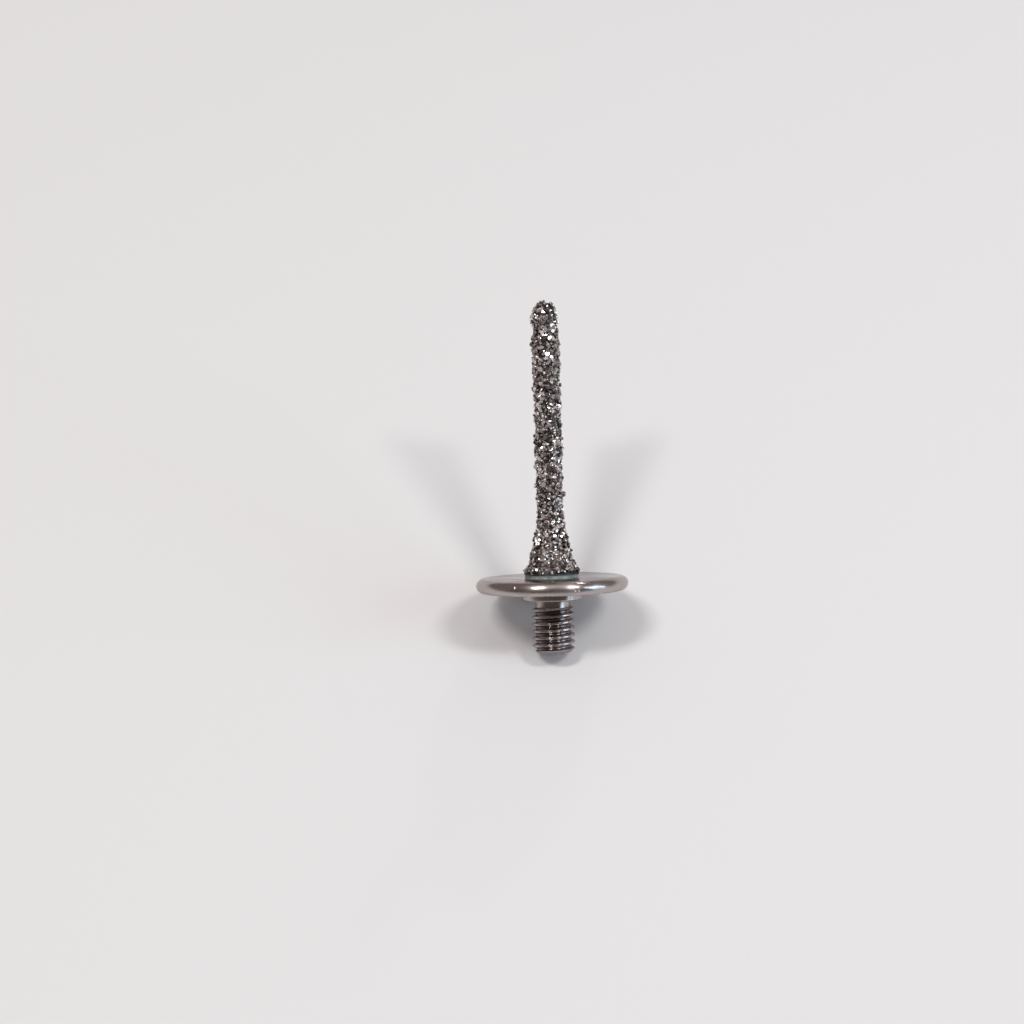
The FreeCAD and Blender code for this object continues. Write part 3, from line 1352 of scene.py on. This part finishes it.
@dataclass(frozen=True)
class Studio:
    """Pale table, lamps, surroundings and camera."""

    table_colour: Colour = (0.787, 0.790, 0.779)
    table_roughness: float = 0.7
    table_shine: float = 0.2
    table_size: float = 6.0
    far_table_colour: Colour = (0.16, 0.135, 0.125)
    lit_reach: Span = (0.035, 0.20)
    ambient: Colour = (0.384, 0.331, 0.346)
    backdrop: Colour = (0.80, 0.79, 0.78)
    wall_colour: Colour = (0.23, 0.185, 0.175)
    ceiling_colour: Colour = (0.95, 0.87, 0.83)
    ceiling_rise: Span = (0.70, 0.99)
    front_colour: Colour = (0.10, 0.08, 0.077)
    front_reach: Span = (-0.1, -0.5)

    def build(self, target: Vector) -> None:
        """Set up the whole studio.

        Args:
            target: The point that the camera is set by.
        """
        self.table()
        self.surroundings()
        for lamp in Lamp:
            lamp.build()
        Portrait().build(target)
        bpy.context.scene.view_settings.view_transform = "Standard"

    def table(self) -> None:
        """A large pale table top at the ground, which gloss sees darker from a hand's width on."""
        choose(None)
        bpy.ops.mesh.primitive_plane_add(size=self.table_size, location=(0, 0, 0))
        table = named("table_top")
        recipe = Recipe("pale_table")
        place = recipe.add("ShaderNodeTexCoord").outputs["Object"]
        reach = recipe.add("ShaderNodeVectorMath", {0: place}, operation="LENGTH").outputs["Value"]
        gloss = recipe.add("ShaderNodeLightPath").outputs["Is Glossy Ray"]
        share = recipe.calculate("MULTIPLY", recipe.remap(reach, self.lit_reach, 0, 1), gloss)
        recipe.dress(
            Base_Color=recipe.ramp(share, [(0.0, self.table_colour), (1.0, self.far_table_colour)]),
            Roughness=self.table_roughness,
            Specular_IOR_Level=self.table_shine,
        )
        table.data.materials.append(recipe.material)

    def surroundings(self) -> None:
        """A plain pale world, which gloss sees as a darker room with a pale ceiling."""
        world = bpy.data.worlds.new("surroundings")
        bpy.context.scene.world = world
        world.use_nodes = True
        world.node_tree.nodes.clear()
        table = NodeTable(world.node_tree)
        path = table.add("ShaderNodeLightPath").outputs
        plain, room, pale = (
            table.add("ShaderNodeBackground", {"Color": colour}).outputs[0]
            for colour in ((*self.ambient, 1), self.room_colour(table), (*self.backdrop, 1))
        )
        gloss = table.add("ShaderNodeMixShader", {0: path["Is Glossy Ray"], 1: plain, 2: room}).outputs[0]
        seen = table.add("ShaderNodeMixShader", {0: path["Is Camera Ray"], 1: gloss, 2: pale}).outputs[0]
        table.add("ShaderNodeOutputWorld", {"Surface": seen})

    def room_colour(self, table: NodeTable) -> Socket:
        """Colour of the room by direction: dark walls, a paler ceiling and a dark front.

        Args:
            table: The world's nodes.

        Returns:
            The colour socket.
        """
        _, ahead, up = table.parts(table.add("ShaderNodeTexCoord").outputs["Generated"])
        high = table.remap(up, self.ceiling_rise, 0, 1, soft=True)
        front = table.remap(ahead, self.front_reach, 0, 1, soft=True)
        level = table.mix_colours(high, self.wall_colour, self.ceiling_colour)
        return table.mix_colours(front, level, self.front_colour)


def main() -> None:
    """Build the bur and its studio."""
    logging.basicConfig(level=logging.INFO, format="%(message)s")
    blank = TurnedBlank()
    lean = Lean.from_record(frame["record"], blank.shank_middle)
    blank.build(lean, SteelFinish())
    DiamondCoat(blank).build(lean)
    BaseBand(blank).build(lean, LacquerFinish())
    Studio().build(lean.matrix() @ Vector((0, 0, blank.disc_middle)))


if __name__ == "__main__":
    main()
